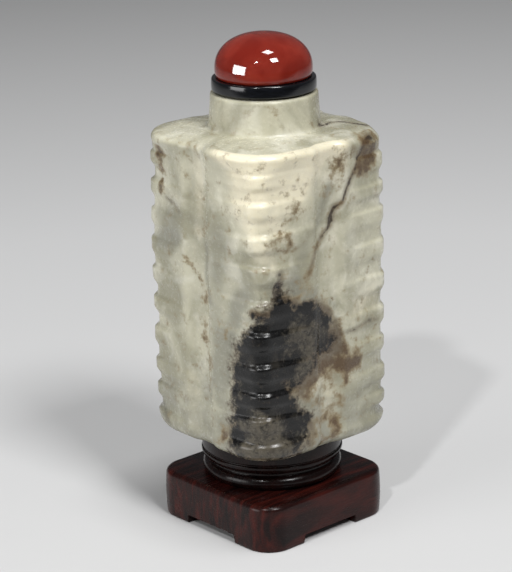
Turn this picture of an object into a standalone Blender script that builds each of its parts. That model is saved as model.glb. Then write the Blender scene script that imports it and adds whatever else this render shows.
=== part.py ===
"""A ribbed jade snuff bottle with a domed stopper, on its carved wooden stand.

Lengths are in metres and +Z is up. The origin is on the ground, under the middle of the stand, whose
sides look along X and Y. The bottle stands in the stand's round socket, turned a little to one side.
Every height is worked out from the ground up: the plate of the stand, its collar, the bottle in the
collar, and the stopper in the mouth of the bottle.
"""

import math

import bmesh
import bpy

MM = 0.001

# What sits on, in or against another piece keeps this clearance to it
FIT_GAP = 0.3 * MM

# Stand: a square plate on four corner feet, with a turned collar that holds the bottle's foot
PLATE_SIDE = 24.8 * MM
PLATE_CORNER_RADIUS = 3.9 * MM
PLATE_HEIGHT = 7.1 * MM
PLATE_EDGE_ROUND = 0.7 * MM
PLATE_FOOT_ROUND = 0.25 * MM
PLATE_SWELL = 0.12 * MM
CUTOUT_WIDTH = 10.3 * MM
CUTOUT_HEIGHT = 1.35 * MM
FLANGE_RADIUS = 10.5 * MM
FLANGE_HEIGHT = 3.6 * MM
WAIST_RADIUS = 9.5 * MM
TORUS_RADIUS = 10.35 * MM
TORUS_HEIGHT = 2.2 * MM
WAIST_HEIGHT = 0.5 * MM
FLANGE_EDGE = 0.3 * MM
GROOVE_DEPTH = 0.25 * MM
GROOVE_RISE = 1.15 * MM

# Bottle: a square body with a channel down each face and ribs round each corner. At the rim and the base
# its corners are widely rounded. Between them the faces lie further in, and lean back to a soft ridge.
BOTTLE_TURN = math.radians(-1.5)
BODY_SIDE = 27.5 * MM
BODY_CORNER_RADIUS = 7.2 * MM
RIDGE_RADIUS = 2.6 * MM
FACE_INSET = 0.6 * MM
FACE_TAPER = math.radians(5.5)
RIM_REACH = 4.0 * MM
BASE_REACH = 6.0 * MM
BODY_HEIGHT = 45.4 * MM
BODY_FLARE = 0.1 * MM
BODY_SWELL = 0.2 * MM
BASE_ROUND = 2.8 * MM
RIM_ROUND = 0.8 * MM
SHOULDER_RISE = 0.6 * MM
SHOULDER_BULGE = 0.36 * MM
CHANNEL_WIDTH = 2.6 * MM
CHANNEL_DEPTH = 0.8 * MM
CHANNEL_EDGE_RUN = 1.5 * MM
RIB_COUNT = 10
RIB_CREST_HEIGHT = 1.5 * MM
RIB_UPPER_FLANK = 0.55 * MM
RIB_LOWER_FLANK = 1.1 * MM
NOTCH_DEPTH = 0.62 * MM
NOTCH_FACE_SHARE = 0.12
NOTCH_EDGE_SHARE = 0.7
LOWEST_CREST = 2.2 * MM
CREST_CROWDING = 0.75 * MM
WORN_CORNER_DEPTH = 0.8 * MM
WORN_CORNER_HEIGHT = 1.6 * MM
FOOT_RADIUS = 8.0 * MM
FOOT_HEIGHT = 1.6 * MM
FOOT_RING_WIDTH = 1.4 * MM
FOOT_EDGE = 0.25 * MM
FOOT_RECESS = 0.6 * MM
NECK_BASE_RADIUS = 8.1 * MM
NECK_TOP_RADIUS = 7.7 * MM
NECK_HEIGHT = 5.05 * MM
NECK_FILLET = 0.5 * MM
LIP_ROUND = 0.5 * MM
MOUTH_DIAMETER = 7.2 * MM
SIDE_WALL = 3.0 * MM
FLOOR_WALL = 3.2 * MM
SHOULDER_WALL = 3.0 * MM
CAVITY_CORNER_RADIUS = 3.6 * MM
CAVITY_ROUND = 2.6 * MM

# Stopper: a cork in the mouth, a dark ring on the lip and a domed stone seated in the ring
RING_RADIUS = 7.5 * MM
RING_HEIGHT = 1.75 * MM
RING_EDGE = 0.15 * MM
SEAT_DEPTH = 0.3 * MM
DOME_RADIUS = 7.0 * MM
DOME_BASE_RADIUS = 6.6 * MM
DOME_HEIGHT = 6.2 * MM
DOME_WIDEST_SHARE = 0.17
DOME_SQUARENESS = 2.25
CORK_LENGTH = 6.0 * MM
CORK_CHAMFER = 0.4 * MM

# Points round each kind of section, in each eighth of a turn
BODY_ARC_STEPS = 3
PLATE_ARC_STEPS = 4
PLATE_FLAT_STEPS = 2
ROUND_STEPS = 4
TORUS_STEPS = 6
COLLAR_SIDES = 40
STOPPER_SIDES = 36
CORK_SIDES = 24
CAVITY_ARC_STEPS = 2

# Heights above the ground
PLATE_TOP = PLATE_HEIGHT
COLLAR_TOP = PLATE_TOP + TORUS_HEIGHT + WAIST_HEIGHT + FLANGE_HEIGHT
BODY_BOTTOM = COLLAR_TOP + FIT_GAP
FOOT_BOTTOM = BODY_BOTTOM - FOOT_HEIGHT
SOCKET_FLOOR = FOOT_BOTTOM - FIT_GAP
SOCKET_RADIUS = FOOT_RADIUS + FIT_GAP
RIM_Z = BODY_BOTTOM + BODY_HEIGHT
NECK_BOTTOM = RIM_Z + SHOULDER_RISE
LIP_Z = NECK_BOTTOM + NECK_HEIGHT
RING_BOTTOM = LIP_Z + FIT_GAP
RING_TOP = RING_BOTTOM + RING_HEIGHT
SEAT_Z = RING_TOP - SEAT_DEPTH
DOME_BOTTOM = SEAT_Z + FIT_GAP
CORK_TOP = RING_BOTTOM - FIT_GAP

Point = tuple[float, float, float]
Outline = list[tuple[float, float]]
Ring = list[Point]


def clear_scene() -> None:
    """Removes every object of the scene, so that the model is the only thing in it."""
    for thing in list(bpy.data.objects):
        bpy.data.objects.remove(thing, do_unlink=True)


def make_material(name: str, colour: tuple[float, float, float], roughness: float) -> bpy.types.Material:
    """Returns a Principled material with one plain colour, given in linear light."""
    material = bpy.data.materials.new(name)
    material.use_nodes = True
    shader = material.node_tree.nodes["Principled BSDF"]
    shader.inputs["Base Color"].default_value = (*colour, 1.0)
    shader.inputs["Roughness"].default_value = roughness
    shader.inputs["Metallic"].default_value = 0.0
    return material


def turn_eighth(eighth: Outline) -> Outline:
    """Completes an outline from one eighth of it.

    The eighth starts on +X and ends on the diagonal. It is mirrored in the diagonal to make a quarter, and
    the quarter is turned three times about the middle.
    """
    quarter = eighth + [(y, x) for x, y in reversed(eighth[1:-1])]
    outline = []
    for turn in range(4):
        for x, y in quarter:
            for _ in range(turn):
                x, y = -y, x
            outline.append((x, y))
    return outline


def corner_arc(half: float, radius: float, steps: int) -> Outline:
    """Returns the points of a corner from the end of its flat up to the diagonal, both included."""
    centre = half - radius
    angles = [math.pi / 4 * step / steps for step in range(steps + 1)]
    return [(centre + radius * math.cos(a), centre + radius * math.sin(a)) for a in angles]


def rounded_square(half: float, radius: float, arc_steps: int, flat_steps: int) -> Outline:
    """Returns the outline of a square with round corners, with points along its flats too."""
    flat = [(half, (half - radius) * step / flat_steps) for step in range(flat_steps)]
    return turn_eighth(flat + corner_arc(half, radius, arc_steps))


def body_eighth(half: float, radius: float, taper: float, notch: float) -> Outline:
    """Returns one eighth of the outline of the bottle's body, from the middle of a face to the diagonal.

    The channel's floor lies CHANNEL_DEPTH behind the face. From the channel's edge the face leans back by
    the taper, and the corner is an arc between two such faces. A notch moves the corner's ridge inwards by
    its full depth, the face beside the channel by a share of it, and the channel not at all.
    """
    channel_half = CHANNEL_WIDTH / 2
    face_start = channel_half + CHANNEL_EDGE_RUN
    reach = half * math.cos(taper) + face_start * math.sin(taper)
    centre = (reach - radius) / (math.cos(taper) + math.sin(taper))
    angles = [taper + (math.pi / 4 - taper) * step / BODY_ARC_STEPS for step in range(BODY_ARC_STEPS + 1)]
    corner = [(centre + radius * math.cos(a), centre + radius * math.sin(a)) for a in angles]
    middle = ((half + corner[0][0]) / 2, (face_start + corner[0][1]) / 2)
    middle_share = (NOTCH_FACE_SHARE + NOTCH_EDGE_SHARE) / 2
    moved = [(half, face_start, NOTCH_FACE_SHARE, taper), (*middle, middle_share, taper)]
    for step, (x, y) in enumerate(corner):
        moved.append((x, y, NOTCH_EDGE_SHARE + (1.0 - NOTCH_EDGE_SHARE) * step / BODY_ARC_STEPS, angles[step]))
    floor = half - CHANNEL_DEPTH
    eighth = [(floor, 0.0), (floor, channel_half)]
    for x, y, share, angle in moved:
        eighth.append((x - notch * share * math.cos(angle), y - notch * share * math.sin(angle)))
    return eighth


def ribbed_square(half: float, inset: float, ridged: float, notch: float, corner_cut: float) -> Outline:
    """Returns the outline of the bottle's body at one height, moved inwards by an inset.

    The outline lies between one with widely rounded corners and one whose faces lean back to soft ridges:
    ridged says how near it is to the second. The corner cut moves the corner at +X -Y inwards as well,
    where the stone is worn.
    """
    rounded = body_eighth(half - inset, BODY_CORNER_RADIUS - inset, 0.0, notch)
    ridge = body_eighth(half - FACE_INSET - inset, RIDGE_RADIUS, FACE_TAPER, notch)
    outline = turn_eighth(blend(rounded, ridge, ridged))
    if corner_cut > 0.0:
        outline = [cut_corner(x, y, half, corner_cut) for x, y in outline]
    return outline


def cut_corner(x: float, y: float, half: float, depth: float) -> tuple[float, float]:
    """Moves a point near the corner at +X -Y towards the middle, most on the diagonal itself."""
    reach = math.hypot(x, y)
    off_diagonal = abs(math.atan2(y, x) + math.pi / 4) / (math.pi / 4)
    if off_diagonal >= 1.0 or reach < half:
        return x, y
    share = math.cos(off_diagonal * math.pi / 2) ** 2
    scale = (reach - depth * share) / reach
    return x * scale, y * scale


def circle(radius: float, sides: int) -> Outline:
    """Returns the points of a circle, the first one on +X."""
    angles = [2 * math.pi * side / sides for side in range(sides)]
    return [(radius * math.cos(a), radius * math.sin(a)) for a in angles]


def blend(first: Outline, second: Outline, share: float) -> Outline:
    """Returns the outline that lies between two others, point by point."""
    return [(a[0] + (b[0] - a[0]) * share, a[1] + (b[1] - a[1]) * share) for a, b in zip(first, second)]


def lift(outline: Outline, z: float) -> Ring:
    """Places a flat outline at a height."""
    return [(x, y, z) for x, y in outline]


def quarter_round(radius: float, steps: int) -> Outline:
    """Returns how far a rounded edge lies inside its corner, and how high, from its end to its start.

    The first pair is at the flat end (inset by the radius, height 0), the last at the upright side.
    """
    angles = [math.pi / 2 * step / steps for step in range(steps + 1)]
    return [(radius * (1 - math.sin(a)), radius * (1 - math.cos(a))) for a in angles]


def loft(name: str, rings: list[Ring]) -> bpy.types.Object:
    """Makes a closed body through rings of equal length, listed from the lowest end to the other end."""
    mesh = bpy.data.meshes.new(name)
    shape = bmesh.new()
    rows = [[shape.verts.new(point) for point in ring] for ring in rings]
    for lower, upper in zip(rows, rows[1:]):
        for here in range(len(lower)):
            there = (here + 1) % len(lower)
            shape.faces.new((lower[here], lower[there], upper[there], upper[here]))
    shape.faces.new(list(reversed(rows[0])))
    shape.faces.new(rows[-1])
    shape.normal_update()
    shape.to_mesh(mesh)
    shape.free()
    mesh.shade_smooth()
    mesh.set_sharp_from_angle(angle=math.radians(40))
    thing = bpy.data.objects.new(name, mesh)
    bpy.context.scene.collection.objects.link(thing)
    return thing


def turned(name: str, profile: Outline, sides: int) -> bpy.types.Object:
    """Makes a turned body from (radius, height) pairs, listed from the middle of its underside outwards."""
    return loft(name, [lift(circle(radius, sides), z) for radius, z in profile])


def make_guide(thing: bpy.types.Object) -> None:
    """Marks a body that only shapes another one."""
    thing.hide_render = True
    thing.display_type = "WIRE"


def combine(target: bpy.types.Object, tool: bpy.types.Object, operation: str) -> None:
    """Joins a guide to a body, or cuts it out of the body."""
    make_guide(tool)
    modifier = target.modifiers.new(tool.name, "BOOLEAN")
    modifier.operation = operation
    modifier.solver = "EXACT"
    modifier.object = tool


def box(name: str, size: Point, centre: Point) -> bpy.types.Object:
    """Makes a plain block."""
    mesh = bpy.data.meshes.new(name)
    shape = bmesh.new()
    bmesh.ops.create_cube(shape, size=1.0)
    bmesh.ops.scale(shape, vec=size, verts=shape.verts)
    bmesh.ops.translate(shape, vec=centre, verts=shape.verts)
    shape.to_mesh(mesh)
    shape.free()
    thing = bpy.data.objects.new(name, mesh)
    bpy.context.scene.collection.objects.link(thing)
    return thing


def plate_rings() -> list[Ring]:
    """Returns the sections of the stand's plate, whose sides swell a little at half height."""
    half = PLATE_SIDE / 2
    radius = PLATE_CORNER_RADIUS

    def section(inset: float, z: float) -> Ring:
        return lift(rounded_square(half - inset, radius - inset, PLATE_ARC_STEPS, PLATE_FLAT_STEPS), z)

    rings = [section(PLATE_FOOT_ROUND, 0.0), section(0.0, PLATE_FOOT_ROUND)]
    rings.append(section(-PLATE_SWELL, PLATE_HEIGHT * 0.5))
    for inset, drop in reversed(quarter_round(PLATE_EDGE_ROUND, ROUND_STEPS)):
        rings.append(section(inset, PLATE_TOP - drop))
    return rings


def collar_profile() -> Outline:
    """Returns the turned profile of the collar: a round moulding, a waist and a flange with a groove.

    It starts inside the plate and ends on the floor of the socket for the bottle's foot.
    """
    torus_half = TORUS_HEIGHT / 2
    torus_core = TORUS_RADIUS - torus_half
    root_z = PLATE_TOP - PLATE_EDGE_ROUND
    profile = [(torus_core, root_z), (TORUS_RADIUS - FLANGE_EDGE, root_z)]
    for step in range(1, TORUS_STEPS):
        angle = math.pi * (step / TORUS_STEPS - 0.5)
        z = PLATE_TOP + torus_half * (1 + math.sin(angle))
        profile.append((torus_core + torus_half * math.cos(angle), z))
    waist_bottom = PLATE_TOP + TORUS_HEIGHT
    flange_bottom = waist_bottom + WAIST_HEIGHT
    groove_z = flange_bottom + GROOVE_RISE
    upper_radius = FLANGE_RADIUS - GROOVE_DEPTH / 2
    profile += [
        (WAIST_RADIUS, waist_bottom),
        (WAIST_RADIUS, flange_bottom),
        (FLANGE_RADIUS - FLANGE_EDGE, flange_bottom),
        (FLANGE_RADIUS, flange_bottom + FLANGE_EDGE),
        (FLANGE_RADIUS, groove_z - FLANGE_EDGE),
        (FLANGE_RADIUS - GROOVE_DEPTH, groove_z),
        (upper_radius, groove_z + FLANGE_EDGE),
        (upper_radius, COLLAR_TOP - FLANGE_EDGE),
        (upper_radius - FLANGE_EDGE, COLLAR_TOP),
        (SOCKET_RADIUS, COLLAR_TOP),
        (SOCKET_RADIUS, SOCKET_FLOOR),
    ]
    return profile


def build_stand(material: bpy.types.Material) -> bpy.types.Object:
    """Builds the stand as one carved piece: plate, collar, and four feet left by two crossing cuts."""
    stand = loft("stand", plate_rings())
    combine(stand, turned("stand_collar_guide", collar_profile(), COLLAR_SIDES), "UNION")
    reach = PLATE_SIDE * 1.5
    cut_size = (reach, CUTOUT_WIDTH, CUTOUT_HEIGHT * 2)
    combine(stand, box("stand_cut_x_guide", cut_size, (0.0, 0.0, 0.0)), "DIFFERENCE")
    cut_size = (CUTOUT_WIDTH, reach, CUTOUT_HEIGHT * 2)
    combine(stand, box("stand_cut_y_guide", cut_size, (0.0, 0.0, 0.0)), "DIFFERENCE")
    stand.data.materials.append(material)
    return stand


def body_half(z: float) -> float:
    """Returns half the width of the body at a height: it swells at half height, and widens downwards."""
    down = (RIM_Z - z) / BODY_HEIGHT
    return BODY_SIDE / 2 + BODY_FLARE * down + BODY_SWELL * 4 * down * (1 - down)


def ridged_share(z: float) -> float:
    """Returns how far the corners have gone from rounded to ridged at a height: not at either end."""
    below_rim = (RIM_Z - z) / RIM_REACH
    above_base = (z - BODY_BOTTOM) / BASE_REACH
    share = max(0.0, min(1.0, below_rim, above_base))
    return share * share * (3 - 2 * share)


def crest_height(crest: int) -> float:
    """Returns the height of the middle of a crest, counted from the lowest one.

    The crests are evenly spaced but for a slight crowding towards both ends, as they were cut by hand.
    """
    lowest = BODY_BOTTOM + LOWEST_CREST
    highest = RIM_Z - RIM_ROUND / 2
    along = 2 * crest / RIB_COUNT - 1
    middle = (lowest + highest) / 2
    return middle + (highest - lowest) / 2 * along + CREST_CROWDING * math.sin(math.pi * along)


def rib_stations() -> list[tuple[float, float]]:
    """Returns the bends of the ribs as (height, notch depth), from the lowest crest to the rim.

    A crest is flat, its upper flank is steep, and the valley above runs gently out to the next crest.
    """
    stations = []
    for crest in range(RIB_COUNT):
        top = crest_height(crest) + RIB_CREST_HEIGHT / 2
        next_bottom = crest_height(crest + 1) - RIB_CREST_HEIGHT / 2
        stations.append((top, 0.0))
        stations.append((top + RIB_UPPER_FLANK, NOTCH_DEPTH))
        stations.append((next_bottom - RIB_LOWER_FLANK, NOTCH_DEPTH))
        stations.append((next_bottom, 0.0))
    return stations


def worn_share(z: float) -> float:
    """Returns how much of the worn corner is gone at a height: all at the rim, none lower down."""
    depth = (z - (RIM_Z - WORN_CORNER_HEIGHT)) / WORN_CORNER_HEIGHT
    return max(0.0, min(1.0, depth))


def body_section(z: float, inset: float, notch: float) -> Ring:
    """Returns the body's outline at a height, moved inwards by an inset."""
    corner_cut = WORN_CORNER_DEPTH * worn_share(z)
    return lift(ribbed_square(body_half(z), inset, ridged_share(z), notch, corner_cut), z)


def body_rings() -> list[Ring]:
    """Returns the sections of the bottle's outside, from the recess in its foot up to its lip."""
    sides = len(turn_eighth(body_eighth(body_half(RIM_Z), BODY_CORNER_RADIUS, 0.0, 0.0)))
    foot_inner = FOOT_RADIUS - FOOT_RING_WIDTH
    rings = [
        lift(circle(foot_inner, sides), FOOT_BOTTOM + FOOT_RECESS),
        lift(circle(foot_inner, sides), FOOT_BOTTOM),
        lift(circle(FOOT_RADIUS - FOOT_EDGE, sides), FOOT_BOTTOM),
        lift(circle(FOOT_RADIUS, sides), FOOT_BOTTOM + FOOT_EDGE),
        lift(circle(FOOT_RADIUS, sides), BODY_BOTTOM),
    ]
    for inset, rise in quarter_round(BASE_ROUND, ROUND_STEPS):
        rings.append(body_section(BODY_BOTTOM + rise, inset, 0.0))
    for z, notch in rib_stations():
        if BODY_BOTTOM + BASE_ROUND < z < RIM_Z - RIM_ROUND:
            rings.append(body_section(z, 0.0, notch))
    for inset, drop in reversed(quarter_round(RIM_ROUND, ROUND_STEPS // 2)):
        rings.append(body_section(RIM_Z - drop, inset, 0.0))
    rim = ribbed_square(body_half(RIM_Z), RIM_ROUND, 0.0, 0.0, WORN_CORNER_DEPTH)
    neck_foot = circle(NECK_BASE_RADIUS + NECK_FILLET, sides)
    rings.append(lift(blend(rim, neck_foot, 0.5), RIM_Z + SHOULDER_BULGE))
    rings.append(lift(neck_foot, NECK_BOTTOM))
    for inset, rise in quarter_round(NECK_FILLET, ROUND_STEPS // 2)[1:]:
        rings.append(lift(circle(NECK_BASE_RADIUS + inset, sides), NECK_BOTTOM + rise))
    for inset, drop in reversed(quarter_round(LIP_ROUND, ROUND_STEPS // 2)):
        rings.append(lift(circle(NECK_TOP_RADIUS - inset, sides), LIP_Z - drop))
    return rings


def cavity_rings() -> list[Ring]:
    """Returns the sections of the hollow inside, from its floor up through the mouth and past the lip."""
    half = BODY_SIDE / 2 - FACE_INSET - CHANNEL_DEPTH - SIDE_WALL
    radius = CAVITY_CORNER_RADIUS
    bottom = BODY_BOTTOM + FLOOR_WALL
    top = RIM_Z - SHOULDER_WALL
    sides = 8 * (1 + CAVITY_ARC_STEPS)
    mouth = circle(MOUTH_DIAMETER / 2, sides)

    def section(inset: float, z: float) -> Ring:
        return lift(rounded_square(half - inset, radius - inset, CAVITY_ARC_STEPS, 1), z)

    edge = quarter_round(CAVITY_ROUND, ROUND_STEPS // 2)
    rings = [section(inset, bottom + rise) for inset, rise in edge]
    rings += [section(inset, top - drop) for inset, drop in reversed(edge)]
    rings.append(lift(mouth, top + FIT_GAP))
    rings.append(lift(mouth, LIP_Z + MOUTH_DIAMETER))
    return rings


def build_bottle(material: bpy.types.Material) -> bpy.types.Object:
    """Builds the bottle: the carved outside, hollowed through the mouth."""
    bottle = loft("bottle", body_rings())
    hollow = loft("bottle_hollow_guide", cavity_rings())
    combine(bottle, hollow, "DIFFERENCE")
    axis = bpy.data.objects.new("bottle_axis", None)
    axis.rotation_euler.z = BOTTLE_TURN
    bpy.context.scene.collection.objects.link(axis)
    for piece in (bottle, hollow):
        piece.parent = axis
    bottle.data.materials.append(material)
    return bottle


def build_cork(material: bpy.types.Material) -> bpy.types.Object:
    """Builds the cork that holds the stopper in the mouth."""
    radius = MOUTH_DIAMETER / 2 - FIT_GAP
    bottom = CORK_TOP - CORK_LENGTH
    profile = [(radius - CORK_CHAMFER, bottom), (radius, bottom + CORK_CHAMFER), (radius, CORK_TOP)]
    cork = turned("stopper_cork", profile, CORK_SIDES)
    cork.data.materials.append(material)
    return cork


def build_ring(material: bpy.types.Material) -> bpy.types.Object:
    """Builds the dark ring on the lip, with a shallow seat for the dome."""
    seat_radius = DOME_BASE_RADIUS + FIT_GAP
    profile = [
        (RING_RADIUS - RING_EDGE, RING_BOTTOM),
        (RING_RADIUS, RING_BOTTOM + RING_EDGE),
        (RING_RADIUS, RING_TOP - RING_EDGE),
        (RING_RADIUS - RING_EDGE, RING_TOP),
        (seat_radius, RING_TOP),
        (seat_radius, SEAT_Z),
    ]
    ring = turned("stopper_collar", profile, STOPPER_SIDES)
    ring.data.materials.append(material)
    return ring


def build_dome(material: bpy.types.Material) -> bpy.types.Object:
    """Builds the domed stone: it widens above its base, then closes in a slightly squared dome."""
    widest = DOME_BOTTOM + DOME_HEIGHT * DOME_WIDEST_SHARE
    rise = DOME_BOTTOM + DOME_HEIGHT - widest
    profile = [(DOME_BASE_RADIUS, DOME_BOTTOM)]
    for step in range(1, 3):
        angle = math.pi / 2 * step / 3
        radius = DOME_BASE_RADIUS + (DOME_RADIUS - DOME_BASE_RADIUS) * math.sin(angle)
        profile.append((radius, widest - (widest - DOME_BOTTOM) * math.cos(angle)))
    for step in range(8):
        angle = math.pi / 2 * step / 8
        power = 2 / DOME_SQUARENESS
        profile.append((DOME_RADIUS * math.cos(angle) ** power, widest + rise * math.sin(angle) ** power))
    dome = turned("stopper_dome", profile, STOPPER_SIDES)
    dome.data.materials.append(material)
    return dome


def main() -> None:
    """Builds the whole object."""
    clear_scene()
    build_stand(make_material("dark_wood", (0.030, 0.012, 0.010), 0.25))
    build_bottle(make_material("pale_jade", (0.58, 0.57, 0.45), 0.22))
    build_cork(make_material("cork", (0.42, 0.27, 0.14), 0.85))
    build_ring(make_material("black_ring", (0.006, 0.007, 0.010), 0.12))
    build_dome(make_material("red_stone", (0.30, 0.035, 0.022), 0.06))


main()
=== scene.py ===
"""A carved jade snuff bottle with a red domed stopper, on its turned and carved wooden stand.

Every size is in millimetres until a mesh is filled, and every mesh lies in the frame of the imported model:
metres, +Z up, with the origin on the ground under the middle of the stand. The bottle is worked out in a
frame of its own, square to its faces, and turned to its place on the stand when its mesh is filled.
"""

from __future__ import annotations

import logging
import math
from dataclasses import dataclass, field
from enum import Enum
from functools import cached_property

import bpy
import numpy as np
from mathutils import Matrix

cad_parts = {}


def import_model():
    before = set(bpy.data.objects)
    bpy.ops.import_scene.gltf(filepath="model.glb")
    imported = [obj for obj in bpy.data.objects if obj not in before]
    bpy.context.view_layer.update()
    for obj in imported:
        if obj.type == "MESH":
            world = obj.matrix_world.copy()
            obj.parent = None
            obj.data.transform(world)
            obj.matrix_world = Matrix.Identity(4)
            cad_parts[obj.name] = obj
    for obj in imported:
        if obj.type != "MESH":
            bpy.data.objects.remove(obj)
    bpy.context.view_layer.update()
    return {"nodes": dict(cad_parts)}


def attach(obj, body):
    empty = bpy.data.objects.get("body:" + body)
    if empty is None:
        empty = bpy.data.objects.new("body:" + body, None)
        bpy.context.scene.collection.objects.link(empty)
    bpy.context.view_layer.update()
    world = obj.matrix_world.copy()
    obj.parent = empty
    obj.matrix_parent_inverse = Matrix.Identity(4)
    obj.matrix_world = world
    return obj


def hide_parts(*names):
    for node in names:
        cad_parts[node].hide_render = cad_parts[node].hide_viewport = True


LOG = logging.getLogger("snuff_bottle")
MM = 0.001
# The distance round the outline that is noted for points which lie off the bottle's body.
OFF_BODY = 1000.0

Array = np.ndarray
Colour = tuple[float, float, float, float]
Spots = tuple[tuple[float, float], ...]


def linear(code: str) -> Colour:
    """Turns an sRGB colour into the linear colour that Blender computes with.

    Args:
        code: The colour as six hex digits with a leading #.

    Returns:
        Linear red, green and blue, and an alpha of one.
    """
    parts = [int(code[i : i + 2], 16) / 255 for i in (1, 3, 5)]
    red, green, blue = (p / 12.92 if p <= 0.04045 else ((p + 0.055) / 1.055) ** 2.4 for p in parts)
    return red, green, blue, 1.0


def turned(points: Array, angle: float) -> Array:
    """Turns points about the upright axis.

    Args:
        points: Points with x, y and z in the last dimension.
        angle: The turn in radians, anticlockwise seen from above.

    Returns:
        The turned points, in a new array.
    """
    c, s = math.cos(angle), math.sin(angle)
    x, y = points[..., 0], points[..., 1]
    return np.stack([c * x - s * y, s * x + c * y, points[..., 2]], axis=-1)


def smooth_step(low: float, high: float, value: Array) -> Array:
    """Returns 0 below low, 1 above high, and 3t^2 - 2t^3 of the share t between them."""
    t = np.clip((value - low) / (high - low), 0.0, 1.0)
    return t * t * (3.0 - 2.0 * t)


def waves(points: Array, wavelength: float, seed: int, count: int = 7) -> Array:
    """Returns a smooth irregular field, for forms cut and polished by hand.

    The field is the mean of sines whose directions, phases and lengths (within a third of the given one)
    are drawn from a seeded generator, scaled to stay about within -1 and 1.

    Args:
        points: Points in millimetres, with x, y and z in the last dimension.
        wavelength: The usual distance from crest to crest in millimetres.
        seed: The seed of the generator.
        count: How many sines are summed.

    Returns:
        One value for each point.
    """
    draw = np.random.default_rng(seed)
    total = np.zeros(points.shape[:-1])
    for _ in range(count):
        way = draw.normal(size=3)
        way /= np.linalg.norm(way)
        length = wavelength * draw.uniform(0.7, 1.35)
        total += np.sin(2 * math.pi * (points @ way) / length + draw.uniform(0, 2 * math.pi))
    return total / math.sqrt(count)


def path_distance(points: Array, path: Array) -> Array:
    """Returns each point's distance to the nearest place on a path of straight stretches."""
    best = np.full(points.shape[:-1], np.inf)
    for start, end in zip(path[:-1], path[1:]):
        along = end - start
        share = np.clip(((points - start) @ along) / max(float(along @ along), 1e-9), 0.0, 1.0)
        gap = np.linalg.norm(points - (start + share[..., None] * along), axis=-1)
        best = np.minimum(best, gap)
    return best


def outline_distance(points: Array, outline: Array) -> Array:
    """Returns each point's distance to a closed flat outline, negative inside it.

    A point is inside where a ray from it crosses the outline an odd number of times.
    """
    inside = np.zeros(points.shape[:-1], dtype=bool)
    x, y = points[..., 0], points[..., 1]
    for (x0, y0), (x1, y1) in zip(outline, np.roll(outline, -1, axis=0)):
        if y0 != y1:
            cross = x0 + (y - y0) * (x1 - x0) / (y1 - y0)
            inside ^= ((y0 > y) != (y1 > y)) & (x < cross)
    gap = path_distance(points, np.vstack([outline, outline[:1]]))
    return np.where(inside, -gap, gap)


def fill_mesh(name: str, rings: Array, poles: tuple[float, float] | None = None) -> bpy.types.Mesh:
    """Makes a mesh from rings of points, with a quad between every four neighbours.

    Args:
        name: The name of the mesh.
        rings: An array of rings, points and coordinates in millimetres. Each ring runs anticlockwise seen
            from above, and the rings follow one another so that the faces look outwards.
        poles: The heights of the two points on the axis that close the first and last ring.

    Returns:
        The mesh in metres, smooth shaded.
    """
    rows, sides = rings.shape[:2]
    index = np.arange(rows * sides).reshape(rows, sides)
    there = np.roll(index, -1, axis=1)
    quads = np.stack([index[:-1], there[:-1], there[1:], index[1:]], axis=-1).reshape(-1, 4)
    points = rings.reshape(-1, 3)
    loops, sizes = [quads.ravel()], [np.full(len(quads), 4)]
    if poles is not None:
        low, high = len(points), len(points) + 1
        points = np.vstack([points, [[0.0, 0.0, poles[0]], [0.0, 0.0, poles[1]]]])
        for ring, turn, pole in ((0, there, low), (-1, index, high)):
            other = index if turn is there else there
            fan = np.stack([turn[ring], other[ring], np.full(sides, pole)], axis=-1)
            loops.append(fan.ravel())
            sizes.append(np.full(sides, 3))
    mesh = bpy.data.meshes.new(name)
    corner, size = np.concatenate(loops), np.concatenate(sizes)
    mesh.vertices.add(len(points))
    mesh.vertices.foreach_set("co", (points * MM).ravel().astype(np.float32))
    mesh.loops.add(len(corner))
    mesh.loops.foreach_set("vertex_index", corner.astype(np.int32))
    mesh.polygons.add(len(size))
    mesh.polygons.foreach_set("loop_start", (np.cumsum(size) - size).astype(np.int32))
    mesh.update(calc_edges=True)
    mesh.validate()
    mesh.shade_smooth()
    return mesh


def lathe(name: str, radius: Array, height: Array, sides: int) -> bpy.types.Mesh:
    """Turns a profile round the upright axis: x is r cos a, y is r sin a and z is the profile's height.

    Args:
        name: The name of the mesh.
        radius: The radii of the profile in millimetres, from its lowest end round to its other end.
        height: The height of each place on the profile.
        sides: How many points each ring has.

    Returns:
        The closed mesh.
    """
    angle = np.linspace(0.0, 2 * math.pi, sides, endpoint=False)
    x = radius[:, None] * np.cos(angle)
    y = radius[:, None] * np.sin(angle)
    z = np.repeat(height[:, None], sides, axis=1)
    return fill_mesh(name, np.stack([x, y, z], axis=-1), (float(height[0]), float(height[-1])))


def rounded_profile(corners: list[tuple[float, float, float]], steps: int = 6) -> tuple[Array, Array]:
    """Rounds the corners of a profile.

    Each corner is replaced by a curve that leaves the line to it at the corner's radius away and meets the
    line from it as far on, with the corner itself as the control point of a quadratic.

    Args:
        corners: Radius, height and rounding of each corner in millimetres. A rounding of 0 keeps it sharp.
        steps: How many points each curve has.

    Returns:
        The radii and the heights of the rounded profile.
    """
    spots = np.array([(r, z) for r, z, _ in corners])
    out = [spots[:1]]
    share = np.linspace(0.0, 1.0, steps)[:, None]
    for i in range(1, len(corners) - 1):
        before, here, after = spots[i - 1], spots[i], spots[i + 1]
        if corners[i][2] == 0.0:
            out.append(spots[i : i + 1])
            continue
        reach_in = min(corners[i][2], 0.48 * np.linalg.norm(here - before))
        reach_out = min(corners[i][2], 0.48 * np.linalg.norm(after - here))
        first = here + (before - here) / np.linalg.norm(before - here) * reach_in
        last = here + (after - here) / np.linalg.norm(after - here) * reach_out
        out.append((1 - share) ** 2 * first + 2 * share * (1 - share) * here + share**2 * last)
    out.append(spots[-1:])
    path = np.vstack(out)
    return path[:, 0], path[:, 1]


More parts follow.
